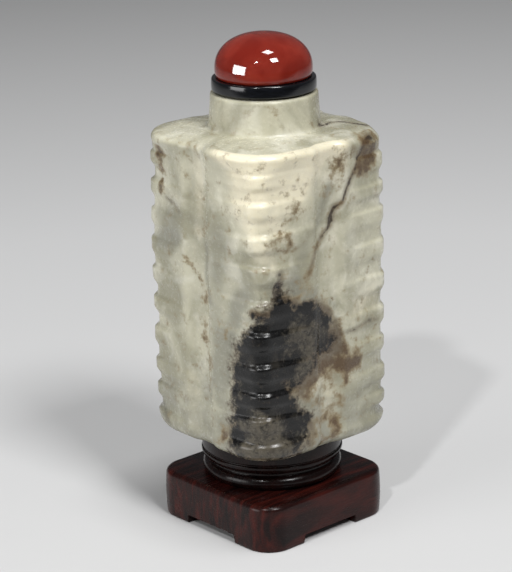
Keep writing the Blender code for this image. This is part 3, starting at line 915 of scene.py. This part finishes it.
@dataclass
class Markings:
    """Where the veins, stains and clouds lie in the stone, and where shade is painted on it.

    Spots are (distance round the outline, height). Only the crack from the shoulder is a path of (x, y, z).
    """

    shoulder_crack: tuple[tuple[float, float, float], ...] = (
        (4.1, -7.0, 60.1), (7.0, -6.1, 59.6), (9.1, -6.5, 59.5), (10.2, -8.1, 59.3), (11.4, -9.2, 59.2),
    )
    crack_half_width: float = 0.1
    farthest: float = 9.0
    veins: tuple[Vein, ...] = (
        Vein((
            (23.2, 58.5), (21.2, 57.5), (18.5, 55.9), (17.8, 54.6), (16.6, 52.9), (15.6, 51.4),
            (15.0, 50.2), (13.8, 49.5), (13.2, 48.4), (13.0, 46.9), (11.4, 45.6),
        ), 0.04),
        Vein(((11.4, 45.6), (9.9, 44.3), (9.1, 42.6), (8.4, 41.3)), -0.16),
        Vein(((3.4, 42.0), (3.5, 41.3), (3.2, 40.6), (3.2, 39.3), (3.0, 38.3)), 0.1),
        Vein(((-19.3, 49.9), (-17.1, 49.4), (-16.2, 48.7)), -0.2),
        Vein(((14.2, 30.8), (17.0, 30.7), (20.2, 31.3), (22.0, 31.1)), -0.16),
        Vein(((13.8, 49.5), (13.4, 48.8), (13.5, 47.7)), -0.05),
        Vein(((12.2, 30.9), (13.5, 29.5), (12.4, 28.6), (9.4, 29.1), (8.4, 27.4), (8.1, 25.9)), 0.0),
    )
    dark_outline: Spots = (
        (3.5, 40.4), (3.2, 39.4), (2.9, 38.3), (1.5, 37.5), (-0.0, 37.2), (-0.9, 36.4), (-0.3, 35.6),
        (-1.3, 34.6), (-2.8, 33.3), (-3.6, 31.9), (-4.7, 30.4), (-5.0, 28.6), (-5.0, 27.1), (-4.7, 25.1),
        (-5.0, 23.6), (-5.4, 21.9), (-5.6, 19.6), (-4.7, 17.3), (-3.4, 15.0), (-1.5, 14.6), (0.8, 14.3),
        (3.0, 14.6), (5.9, 16.6), (7.9, 17.8), (8.5, 19.7), (6.5, 21.5),
        (4.7, 23.7), (5.1, 24.8), (6.5, 25.5), (8.0, 26.3), (8.9, 27.3), (8.8, 28.6), (11.0, 28.8),
        (13.0, 29.1), (13.5, 30.2), (13.2, 32.0), (12.5, 33.7), (11.2, 35.0), (8.8, 36.4), (6.5, 36.5),
        (4.8, 37.6), (4.0, 38.5),
    )
    stains: tuple[Stroke, ...] = (
        Stroke(((22.9, 58.1), (22.4, 56.5), (21.4, 55.0), (20.0, 54.1)), 1.6, 0.85),
        Stroke(((21.0, 56.8), (19.3, 55.5), (18.9, 54.4)), 1.0, 0.7),
        Stroke(((18.2, 57.4), (15.7, 56.6), (14.2, 55.3)), 1.5, 0.55),
        Stroke(((14.2, 54.7), (12.8, 53.7)), 1.3, 0.4),
        Stroke(((17.8, 54.6), (16.6, 52.9), (15.6, 51.4), (15.0, 50.2)), 0.7, 0.55),
        Stroke(((13.8, 49.5), (13.2, 48.4), (13.0, 46.9)), 0.8, 0.7),
        Stroke(((11.4, 45.6), (9.9, 44.3), (9.1, 42.6), (8.4, 41.3), (7.3, 39.8), (6.4, 38.2)), 0.9, 0.55),
        Stroke(((-22.6, 57.4), (-20.6, 55.6), (-20.7, 54.0)), 0.9, 0.9),
        Stroke(((-20.4, 52.0), (-20.8, 50.6)), 0.8, 0.8),
        Stroke((
            (-14.8, 42.1), (-13.6, 40.7), (-12.6, 39.9), (-12.0, 39.1), (-11.6, 38.0), (-11.1, 36.4),
        ), 0.65, 0.75),
        Stroke(((-12.0, 33.5), (-11.9, 31.7), (-11.7, 30.1), (-10.9, 28.6), (-10.2, 27.4)), 0.9, 0.6),
        Stroke(((-10.2, 26.8), (-9.5, 24.2)), 0.8, 0.3),
        Stroke(((-6.2, 33.1), (-6.2, 32.1)), 0.5, 0.6),
        Stroke(((-6.3, 56.2), (-6.1, 55.1)), 0.7, 0.3),
        Stroke(((-3.3, 51.9), (-3.2, 51.1)), 0.6, 0.4),
        Stroke(((-5.7, 51.2), (-5.2, 50.1)), 0.6, 0.35),
        Stroke(((-5.3, 48.6), (-5.3, 46.5), (-5.5, 44.5)), 0.5, 0.35),
        Stroke(((5.8, 51.1), (6.4, 49.9)), 1.0, 0.5),
        Stroke(((7.7, 50.5), (7.9, 49.7)), 0.4, 0.5),
        Stroke(((3.9, 48.0), (5.1, 47.2), (5.2, 46.2)), 0.8, 0.45),
        Stroke(((5.2, 46.4), (5.3, 46.1)), 0.4, 0.4),
        Stroke(((1.5, 47.4), (4.3, 45.0)), 1.6, 0.25),
        Stroke(((0.3, 57.5), (0.7, 57.8)), 0.7, 0.2),
        Stroke(((-1.1, 36.8), (0.3, 36.3), (1.7, 36.6), (2.6, 37.3)), 0.6, 1.2),
        Stroke(((4.2, 38.1), (6.7, 36.7), (9.1, 36.8), (11.6, 35.2), (12.9, 34.0)), 0.9, 0.9),
        Stroke(((13.8, 32.6), (14.1, 30.7), (13.8, 28.9)), 0.8, 0.9),
        Stroke(((14.5, 33.1), (15.5, 33.5)), 0.6, 0.35),
        Stroke(((6.6, 30.9), (7.6, 29.0), (6.4, 27.5), (7.5, 25.7)), 2.0, 0.9),
        Stroke(((9.4, 29.1), (8.6, 27.4), (8.6, 25.5), (7.0, 24.4)), 1.2, 1.1),
        Stroke(((10.9, 27.2), (13.1, 26.3), (15.0, 25.7), (18.4, 25.5)), 0.8, 0.95),
        Stroke(((15.4, 25.6), (15.5, 24.2), (14.9, 23.0)), 0.8, 0.8),
        Stroke(((9.8, 26.1), (11.8, 24.8)), 0.8, 0.5),
        Stroke(((14.3, 28.2), (16.4, 26.9)), 1.2, 0.45),
        Stroke(((17.5, 29.3), (20.8, 29.0)), 1.0, 0.35),
        Stroke(((11.9, 18.8), (13.2, 17.8), (14.2, 16.7), (14.5, 15.4)), 0.9, 0.7),
        Stroke(((13.3, 15.6), (11.1, 15.1), (9.2, 14.4)), 0.8, 0.7),
        Stroke(((16.4, 18.3), (19.5, 17.1)), 0.8, 0.3),
        Stroke(((19.5, 19.5), (21.0, 18.3)), 0.7, 0.25),
        Stroke(((8.1, 18.6), (8.0, 17.0), (6.3, 15.3)), 0.8, 0.9),
        Stroke(((-7.0, 17.7), (-5.9, 16.7)), 0.6, 0.7),
        Stroke(((-8.1, 19.1), (-7.6, 18.3)), 0.5, 0.4),
        Stroke(((-1.1, 15.1), (-0.3, 14.3), (0.5, 14.1)), 0.5, 0.5),
        Stroke(((6.4, 23.6), (7.4, 22.5)), 0.6, 0.4),
        Stroke(((13.1, 36.3), (13.3, 36.0)), 0.3, 1.0),
        Stroke(((2.0, 24.5), (3.2, 21.0), (2.2, 17.0)), 2.4, 0.9),
        Stroke(((8.5, 23.0), (10.5, 20.0), (9.5, 16.5)), 1.2, 0.5),
        Stroke(((9.5, 33.5), (12.0, 31.0), (11.0, 28.5)), 1.8, 0.9),
        Stroke(((-5.6, 18.5), (-6.4, 15.8)), 1.0, 0.6),
        Stroke(((10.5, 27.5), (14.0, 26.5), (17.0, 25.8)), 2.2, 0.5),
        Stroke(((9.5, 31.0), (12.0, 29.5), (14.5, 28.6)), 1.4, 0.6),
        Stroke(((12.5, 24.5), (14.0, 21.0), (13.5, 17.5)), 1.3, 0.4),
        Stroke(((2.5, 55.0), (5.5, 50.5), (4.0, 44.5)), 2.6, 0.14),
    )
    creams: tuple[Stroke, ...] = (
        Stroke(((-1.0, 58.5), (0.3, 58.0), (4.9, 57.9), (15.4, 58.2)), 3.0, 0.85),
        Stroke(((-2.9, 54.2), (2.3, 53.5), (7.2, 53.4)), 3.2, 0.8),
        Stroke(((-1.3, 49.4), (3.0, 48.7)), 2.6, 0.6),
        Stroke(((0.6, 45.2), (2.4, 43.9)), 2.2, 0.4),
        Stroke(((-5.3, 59.1), (-1.8, 59.3)), 2.0, 0.5),
        Stroke(((13.2, 50.7), (15.1, 37.2)), 1.4, 0.15),
        Stroke(((9.7, 24.2), (13.3, 21.6), (11.5, 20.0)), 2.2, 0.55),
        Stroke(((-14.6, 23.6), (-14.3, 16.7)), 2.4, 0.35),
        Stroke(((17.5, 33.5), (20.5, 34.5)), 2.4, 0.4),
        Stroke(((-12.0, 47.0), (-12.2, 56.0)), 1.8, 0.4),
    )
    # Grey marks: haze in the stone, and painted shade on the left face, the left of the front, along the left
    # channel and beside the crack.
    hazes_and_shade: tuple[Stroke, ...] = (
        Stroke(((-3.6, 38.2), (-4.5, 34.7), (-6.4, 30.2), (-7.1, 25.5)), 1.6, 0.85),
        Stroke(((-1.7, 41.8), (-1.4, 38.6)), 1.8, 0.6),
        Stroke(((6.1, 39.2), (7.0, 37.8), (8.8, 37.8)), 1.8, 0.9),
        Stroke(((6.9, 43.1), (5.8, 41.6)), 1.4, 0.5),
        Stroke(((12.8, 52.3), (11.7, 50.3), (10.9, 48.0)), 1.2, 0.75),
        Stroke(((9.0, 46.5), (8.0, 44.4)), 1.3, 0.6),
        Stroke(((-21.0, 47.4), (-15.7, 48.0), (-11.8, 47.8)), 1.6, 0.55),
        Stroke(((-21.3, 43.2), (-17.0, 44.8)), 1.6, 0.7),
        Stroke(((-10.4, 44.7), (-10.6, 39.6), (-9.7, 36.9)), 0.7, 0.6),
        Stroke(((9.7, 21.9), (11.1, 17.7), (10.1, 15.3)), 1.0, 0.5),
        Stroke(((15.1, 29.0), (16.9, 27.4)), 1.4, 0.4),
        # Painted shade down the left of the front.
        Stroke(((-7.4, 47.0), (-7.9, 39.0), (-8.0, 33.0), (-8.2, 24.0), (-7.6, 18.0)), 2.5, 0.7),
        Stroke(((14.0, 24.0), (16.0, 18.0)), 2.2, 0.45),
        Stroke(((-18.5, 44.0), (-16.5, 36.0)), 3.0, 0.4),
    )
    # Dark marks: dirt and specks on the stone, and one painted shadow at the base of the left corner.
    dirts_and_shadow: tuple[Stroke, ...] = (
        Stroke(((-21.8, 56.7), (-20.3, 55.3)), 0.5, 0.6),
        Stroke(((-20.6, 51.4), (-20.8, 50.8)), 0.4, 0.6),
        Stroke(((23.2, 58.6), (23.2, 56.9)), 0.5, 0.7),
        Stroke(((21.8, 55.7), (21.4, 55.0)), 0.5, 0.5),
        # Painted shadow along the base of the left corner, where the body meets the stand.
        Stroke(((-22.9, 17.6), (-22.8, 16.5), (-22.5, 15.5)), 0.5, 0.8),
        Stroke(((20.2, 31.4), (20.4, 31.2)), 0.25, 1.0),
        Stroke(((13.1, 36.3), (13.3, 36.2)), 0.22, 1.0),
        Stroke(((4.0, 57.7), (4.2, 57.6)), 0.2, 0.7),
        Stroke(((0.5, 16.1), (0.5, 16.0)), 0.2, 1.0),
        Stroke(((5.9, 15.6), (6.1, 15.4)), 0.3, 0.8),
        Stroke(((-10.4, 32.1), (-10.1, 29.5)), 0.3, 0.3),
        Stroke(((5.2, 46.3), (5.3, 46.1)), 0.25, 0.4),
    )
    smokes: tuple[Stroke, ...] = (
        Stroke(((6.6, 33.6), (8.2, 30.8), (8.2, 28.5), (6.9, 26.6)), 1.8, 0.9),
        Stroke(((9.8, 33.4), (11.4, 31.6)), 1.2, 0.6),
        Stroke(((-4.2, 25.8), (-3.9, 23.6)), 0.7, 0.5),
        Stroke(((3.6, 33.0), (4.3, 30.3)), 1.0, 0.4),
        Stroke(((-0.9, 20.6), (0.0, 18.4), (-0.4, 15.8)), 1.8, 1.1),
        Stroke(((1.8, 19.3), (1.0, 16.6)), 1.5, 0.9),
        Stroke(((-3.8, 19.6), (-3.3, 19.1)), 0.7, 0.9),
        Stroke(((5.3, 17.3), (7.3, 18.8)), 0.9, 0.5),
        Stroke(((-3.7, 30.8), (-4.0, 28.4)), 0.7, 0.4),
    )

    def strokes(self, unrolled: Array, marks: tuple[Stroke, ...]) -> Array:
        """Returns the sum of soft marks, each falling off as the bell curve of the distance in its reach."""
        total = np.zeros(unrolled.shape[:-1])
        for mark in marks:
            beside = path_distance(unrolled, np.array(mark.spots)) / mark.reach
            total += mark.strength * np.exp(-(beside**2))
        return total

    def paint(self, rings: Array, around: Array) -> dict[Layer, Array]:
        """Works out every layer at every point.

        Args:
            rings: The points of the bottle.
            around: Their distances round the outline, or a far value off the body.

        Returns:
            One array of values for each layer.
        """
        unrolled = np.stack([around, rings[..., 2]], axis=-1)
        vein = path_distance(rings, np.array(self.shoulder_crack)) - self.crack_half_width
        for mark in self.veins:
            vein = np.minimum(vein, path_distance(unrolled, np.array(mark.spots)) - mark.half_width)
        dark = outline_distance(unrolled, np.array(self.dark_outline))
        soft = {
            Layer.STAIN: (self.stains, 1.4),
            Layer.CREAM: (self.creams, 1.0),
            Layer.HAZE_AND_SHADE: (self.hazes_and_shade, 1.0),
            Layer.DIRT_AND_SHADOW: (self.dirts_and_shadow, 1.0),
            Layer.SMOKE: (self.smokes, 1.0),
        }
        return {
            Layer.DARK: np.minimum(dark, self.farthest),
            Layer.VEIN: np.minimum(vein, self.farthest),
            **{layer: np.minimum(self.strokes(unrolled, marks), top) for layer, (marks, top) in soft.items()},
        }


@dataclass
class Stopper:
    """The stopper: a red domed stone on a black collar, with a cork below."""

    collar_radius: float = 7.5
    collar_bottom: float = 65.05
    collar_height: float = 1.75
    seat_depth: float = 0.3
    dome_radius: float = 7.0
    dome_base: float = 6.6
    dome_bottom: float = 66.8
    dome_height: float = 6.2
    widest_share: float = 0.17
    squareness: float = 2.25
    sides: int = 128

    def build_dome(self, material: bpy.types.Material) -> bpy.types.Object:
        """Builds the dome: a quarter ellipse under its widest place and a superellipse above it."""
        widest = self.dome_bottom + self.dome_height * self.widest_share
        rise = self.dome_bottom + self.dome_height - widest
        below = np.linspace(0.0, math.pi / 2, 10)[:-1]
        above = np.linspace(0.0, math.pi / 2, 48)[:-1]
        power = 2 / self.squareness
        radius = np.concatenate([
            [self.dome_base * 0.5],
            self.dome_base + (self.dome_radius - self.dome_base) * np.sin(below),
            self.dome_radius * np.cos(above) ** power,
        ])
        height = np.concatenate([
            [self.dome_bottom],
            widest - (widest - self.dome_bottom) * np.cos(below),
            widest + rise * np.sin(above) ** power,
        ])
        name = "stopper_stone"
        piece = add_piece(name, lathe(name, radius, height, self.sides), material)
        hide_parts("stopper_dome")
        return piece

    def build_collar(self, material: bpy.types.Material) -> bpy.types.Object:
        """Builds the collar: a low disc with rounded edges and a shallow seat for the dome."""
        top = self.collar_bottom + self.collar_height
        seat = self.dome_base + 0.2
        radius, height = rounded_profile([
            (self.collar_radius * 0.4, self.collar_bottom, 0.0),
            (self.collar_radius, self.collar_bottom, 0.2),
            (self.collar_radius + 0.04, self.collar_bottom + self.collar_height * 0.55, 0.6),
            (self.collar_radius - 0.06, top, 0.26),
            (seat, top, 0.12),
            (seat, top - self.seat_depth, 0.0),
            (self.collar_radius * 0.4, top - self.seat_depth, 0.0),
        ])
        name = "stopper_horn_collar"
        piece = add_piece(name, lathe(name, radius, height, self.sides), material)
        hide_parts("stopper_collar")
        return piece

    def dress_cork(self, cork: bpy.types.Object, material: bpy.types.Material) -> None:
        """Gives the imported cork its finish."""
        cork.data.materials.clear()
        cork.data.materials.append(material)
        LOG.info("stopper_cork: the packed node, with its cork finish")


@dataclass
class CarvedStand:
    """The stand: a square plate on four low feet, and a turned collar that the bottle's foot stands in."""

    half_side: float = 12.4
    corner_radius: float = 3.9
    height: float = 7.1
    edge_round: float = 0.75
    base_round: float = 0.25
    swell: float = 0.12
    cut_width: float = 10.3
    cut_height: float = 1.35
    cut_round: float = 0.25
    torus_radius: float = 10.35
    torus_height: float = 2.2
    waist_radius: float = 9.5
    waist_height: float = 0.5
    flange_radius: float = 10.5
    flange_height: float = 3.6
    groove_depth: float = 0.25
    socket_radius: float = 8.3
    socket_floor: float = 11.8
    sides: int = 160

    def outline(self, half: Array, radius: Array) -> Array:
        """Returns level rings of a square with rounded corners, from half its width and their radius."""
        spot, way = (all_round(part) for part in rounded_eighth(8, 6))
        return (half - radius)[:, None, None] * spot + radius[:, None, None] * way

    def plate(self) -> bpy.types.Mesh:
        """Returns the plate before its cuts: sides that swell like half a sine, between rounded edges."""
        low = np.linspace(math.pi / 2, 0.0, 4)
        side = np.linspace(self.base_round, self.height - self.edge_round, 10)[1:-1]
        edge = np.linspace(0.0, math.pi / 2, 8)
        z = np.concatenate([
            self.base_round * (1 - np.sin(low)),
            side,
            self.height - self.edge_round * (1 - np.sin(edge)),
        ])
        inset = np.concatenate([
            self.base_round * (1 - np.cos(low)),
            np.zeros(len(side)),
            self.edge_round * (1 - np.cos(edge)),
        ])
        half = self.half_side - inset + self.swell * np.sin(math.pi * z / self.height)
        flat = self.outline(half, self.corner_radius - inset)
        rings = np.dstack([flat, np.repeat(z[:, None], flat.shape[1], axis=1)])
        return fill_mesh("stand_plate", rings, (0.0, self.height))

    def cutter(self, turn: float) -> bpy.types.Object:
        """Returns the block that cuts one pair of openings: a long bar whose upper edges are rounded."""
        across, bend, quarter = self.cut_width / 2, self.cut_round, math.pi / 2
        flare = across + 0.1
        profile = [(-flare, -1.0), (flare, -1.0), (flare, 0.0)]
        for side, start in ((1, 0.0), (-1, quarter)):
            for a in np.linspace(start, start + quarter, 6):
                x = side * (across - bend) + bend * math.cos(a)
                profile.append((x, self.cut_height - bend + bend * math.sin(a)))
        profile.append((-flare, 0.0))
        flat = np.array(profile)
        count = len(flat)
        reach = self.half_side * 1.6
        ends = [np.column_stack([flat[:, 0], np.full(count, end), flat[:, 1]]) for end in (-reach, reach)]
        points = np.vstack(ends)
        points = turned(points, turn) * MM
        faces = [tuple(range(count)), tuple(range(2 * count - 1, count - 1, -1))]
        faces += [(i, i + count, (i + 1) % count + count, (i + 1) % count) for i in range(count)]
        mesh = bpy.data.meshes.new("stand_cutter")
        mesh.from_pydata(points.tolist(), [], faces)
        thing = bpy.data.objects.new("stand_cutter", mesh)
        bpy.context.scene.collection.objects.link(thing)
        return thing

    def build_plate(self, material: bpy.types.Material) -> bpy.types.Object:
        """Builds the plate and cuts the openings between its feet."""
        base = bpy.data.objects.new("plate_blank", self.plate())
        bpy.context.scene.collection.objects.link(base)
        cutters = [self.cutter(0.0), self.cutter(math.pi / 2)]
        for cutter in cutters:
            modifier = base.modifiers.new(cutter.name, "BOOLEAN")
            modifier.operation = "DIFFERENCE"
            modifier.solver = "EXACT"
            modifier.object = cutter
        mesh = bpy.data.meshes.new_from_object(base.evaluated_get(bpy.context.evaluated_depsgraph_get()))
        mesh.name = "stand_plate"
        for thing in (base, *cutters):
            bpy.data.objects.remove(thing, do_unlink=True)
        mesh.materials.clear()
        mesh.shade_smooth()
        mesh.set_sharp_from_angle(angle=math.radians(35))
        piece = add_piece("stand_plate", mesh, material)
        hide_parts("stand")
        return piece

    def build_collar(self, material: bpy.types.Material) -> bpy.types.Object:
        """Builds the turned collar: a round moulding, a waist, and a flange with a fine groove."""
        base = self.height - self.edge_round
        torus_top = self.height + self.torus_height
        flange = torus_top + self.waist_height
        top = flange + self.flange_height
        groove = flange + self.flange_height * 0.34
        angles = np.linspace(-math.pi / 2, math.pi / 2, 14)
        half = self.torus_height / 2
        ring_r = self.torus_radius - half + half * np.cos(angles)
        ring_z = self.height + half * (1 + np.sin(angles))
        neck_r, neck_z = rounded_profile([
            (self.waist_radius + 0.2, torus_top - 0.02, 0.0),
            (self.waist_radius, torus_top, 0.15),
            (self.waist_radius, flange, 0.15),
            (self.flange_radius - 0.35, flange + 0.05, 0.25),
            (self.flange_radius, flange + 0.7, 0.5),
            (self.flange_radius, groove - 0.12, 0.1),
            (self.flange_radius - self.groove_depth, groove, 0.06),
            (self.flange_radius - self.groove_depth, groove + 0.12, 0.06),
            (self.flange_radius - 0.1, groove + 0.3, 0.12),
            (self.flange_radius - 0.12, top - 0.1, 0.35),
            (self.flange_radius - 0.7, top, 0.3),
            (self.socket_radius, top, 0.25),
            (self.socket_radius, self.socket_floor, 0.0),
            (self.socket_radius * 0.4, self.socket_floor, 0.0),
        ])
        radius = np.concatenate([[self.socket_radius * 0.4, ring_r[0]], ring_r, neck_r])
        height = np.concatenate([[base, base], ring_z, neck_z])
        mesh = lathe("stand_collar", radius, height, self.sides)
        piece = add_piece("stand_collar", mesh, material)
        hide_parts("stand")
        return piece


def set_up(thing: bpy.types.Object, right: Array, up: Array, back: Array, place: Array) -> None:
    """Puts a camera or a light into the scene, with its axes and its place in metres."""
    matrix = np.eye(4)
    matrix[:3] = np.column_stack([right, up, back, place])
    thing.matrix_world = Matrix(matrix)
    bpy.context.scene.collection.objects.link(thing)


@dataclass(frozen=True)
class Lamp:
    """A square soft light that looks at the middle of the object.

    Attributes:
        name: Its name.
        azimuth: Its direction from the object in degrees, anticlockwise from +X.
        elevation: Its angle above the floor in degrees.
        distance: Its distance in metres.
        size: The side of the square in metres.
        power: Its power in watts.
        gleam_only: Whether it is seen only in the polish of the gleaming pieces.
        middle: The height in metres that it looks at.
    """

    name: str
    azimuth: float
    elevation: float
    distance: float
    size: float
    power: float
    gleam_only: bool = False
    middle: float = 0.04

    def build(self) -> bpy.types.Object:
        """Builds the light and returns it."""
        a, e = math.radians(self.azimuth), math.radians(self.elevation)
        way = np.array([math.cos(e) * math.cos(a), math.cos(e) * math.sin(a), math.sin(e)])
        right = np.array([-math.sin(a), math.cos(a), 0.0])
        data = bpy.data.lights.new(self.name, "AREA")
        data.shape, data.size, data.energy = "SQUARE", self.size, self.power
        light = bpy.data.objects.new(self.name, data)
        set_up(light, right, np.cross(way, right), way, way * self.distance + (0.0, 0.0, self.middle))
        return light


@dataclass
class Studio:
    """The plain floor, the soft lights and the camera. Lengths are in metres.

    The paper of the floor ends a little way in front of the object, and the table in front of it is dark.
    """

    camera_place: tuple[float, float, float] = (-0.21381, -0.23752, 0.13899)
    camera_right: tuple[float, float, float] = (0.74185, -0.67017, -0.02296)
    camera_up: tuple[float, float, float] = (0.22292, 0.21418, 0.95102)
    focal_pixels: float = 2300.0
    sensor: float = 36.0
    frame_pixels: float = 572.0
    floor_reach: float = 3.0
    floor_near: str = "#d0d0d0"
    floor_far: str = "#adadad"
    table: str = "#2c2c2c"
    # The distances over which the painted light falloff darkens the floor.
    painted_falloff: tuple[float, float] = (0.15, 0.45)
    paper_front: tuple[float, float] = (0.05, 0.16)
    air: str = "#e8eaee"
    air_strength: float = 0.14
    lamps: tuple[Lamp, ...] = (
        Lamp("left_softbox", 168.0, 7.0, 0.7, 0.42, 2.7),
        Lamp("left_gleam", 168.0, 7.0, 0.68, 0.38, 9.0, gleam_only=True),
        Lamp("top_lamp", -80.0, 81.0, 0.9, 0.20, 2.7),
        Lamp("right_lamp", -98.0, 49.0, 0.9, 0.22, 5.2),
        Lamp("front_lamp", -152.0, 44.0, 0.9, 0.04, 2.2),
    )

    def build_camera(self) -> None:
        """Builds the camera where the photograph was taken from."""
        right, up = np.array(self.camera_right), np.array(self.camera_up)
        right /= np.linalg.norm(right)
        up -= right * (up @ right)
        up /= np.linalg.norm(up)
        data = bpy.data.cameras.new("camera")
        data.sensor_width = self.sensor
        data.lens = self.focal_pixels * self.sensor / self.frame_pixels
        data.clip_start, data.clip_end = 0.01, 20.0
        camera = bpy.data.objects.new("camera", data)
        set_up(camera, right, up, np.cross(right, up), np.array(self.camera_place))
        bpy.context.scene.camera = camera

    def build_floor(self) -> None:
        """Builds the floor: pale paper with a painted light falloff, darker with its distance, and the dark
        table in front.
        """
        mesh = bpy.data.meshes.new("floor")
        reach = self.floor_reach
        corners = [(-reach, -reach, 0), (reach, -reach, 0), (reach, reach, 0), (-reach, reach, 0)]
        mesh.from_pydata(corners, [], [(0, 1, 2, 3)])
        floor = bpy.data.objects.new("floor", mesh)
        bpy.context.scene.collection.objects.link(floor)
        material = bpy.data.materials.new("floor_paper")
        material.use_nodes = True
        tree = material.node_tree
        place = add_node(tree, "TexCoord").outputs["Object"]
        # Painted light falloff: the floor is coloured darker with its distance from the middle of the object.
        away = add_node(tree, "VectorMath", {0: place}, operation="LENGTH").outputs["Value"]
        near, far = self.painted_falloff
        span = {"Value": away, "From Min": near, "From Max": far}
        share = add_node(tree, "MapRange", span).outputs["Result"]
        paper_and_falloff = mixed(tree, share, linear(self.floor_near), linear(self.floor_far))
        front = np.array(self.camera_place) * (1.0, 1.0, 0.0)
        towards = {0: place, 1: tuple(front / np.linalg.norm(front))}
        ahead = add_node(tree, "VectorMath", towards, operation="DOT_PRODUCT").outputs["Value"]
        feed(tree, tree.nodes["Principled BSDF"], {
            "Base Color": mixed(tree, ramp(tree, ahead, *self.paper_front), paper_and_falloff, linear(self.table)),
            "Roughness": 0.9,
        })
        floor.data.materials.append(material)

    def build_lamps(self, gleaming: list[bpy.types.Object]) -> None:
        """Builds the lights, and keeps those that only gleam to the polish of the given pieces."""
        receivers = bpy.data.collections.new("gleaming_pieces")
        for piece in gleaming:
            receivers.objects.link(piece)
        for lamp in self.lamps:
            light = lamp.build()
            if lamp.gleam_only:
                light.visible_diffuse = False
                light.light_linking.receiver_collection = receivers

    def build(self, gleaming: list[bpy.types.Object]) -> None:
        """Builds the whole studio.

        Args:
            gleaming: The pieces whose polish shows the softbox at its full brightness.
        """
        self.build_floor()
        self.build_camera()
        self.build_lamps(gleaming)
        world = bpy.data.worlds.new("studio_air")
        world.use_nodes = True
        background = world.node_tree.nodes["Background"]
        feed(world.node_tree, background, {"Color": linear(self.air), "Strength": self.air_strength})
        bpy.context.scene.world = world
        settings = bpy.context.scene.view_settings
        settings.view_transform = "Standard"
        settings.look = "None"


def main() -> None:
    """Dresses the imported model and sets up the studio."""
    logging.basicConfig(level=logging.INFO, format="%(message)s")
    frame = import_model()
    jade = Jade("polished_nephrite", roughness=0.18, ior=1.61).build()
    wood = Rosewood("waxed_rosewood", roughness=0.22, ior=1.52).build()
    turned_wood = Rosewood(
        "turned_rosewood", roughness=0.18, ior=1.52, heart="#090404", ring="#140807", red="#210d09",
    ).build()
    horn = Horn("polished_black_horn", roughness=0.14, ior=1.54).build()
    agate = Agate("polished_red_agate", roughness=0.05, ior=1.54).build()
    cork = CorkOak("sanded_cork", roughness=0.85, ior=1.45).build()
    JadeBottle().build(jade)
    stopper = Stopper()
    dome = stopper.build_dome(agate)
    stopper.build_collar(horn)
    stopper.dress_cork(frame["nodes"]["stopper_cork"], cork)
    stand = CarvedStand()
    stand.build_plate(wood)
    stand.build_collar(turned_wood)
    Studio().build([dome])


if __name__ == "__main__":
    main()
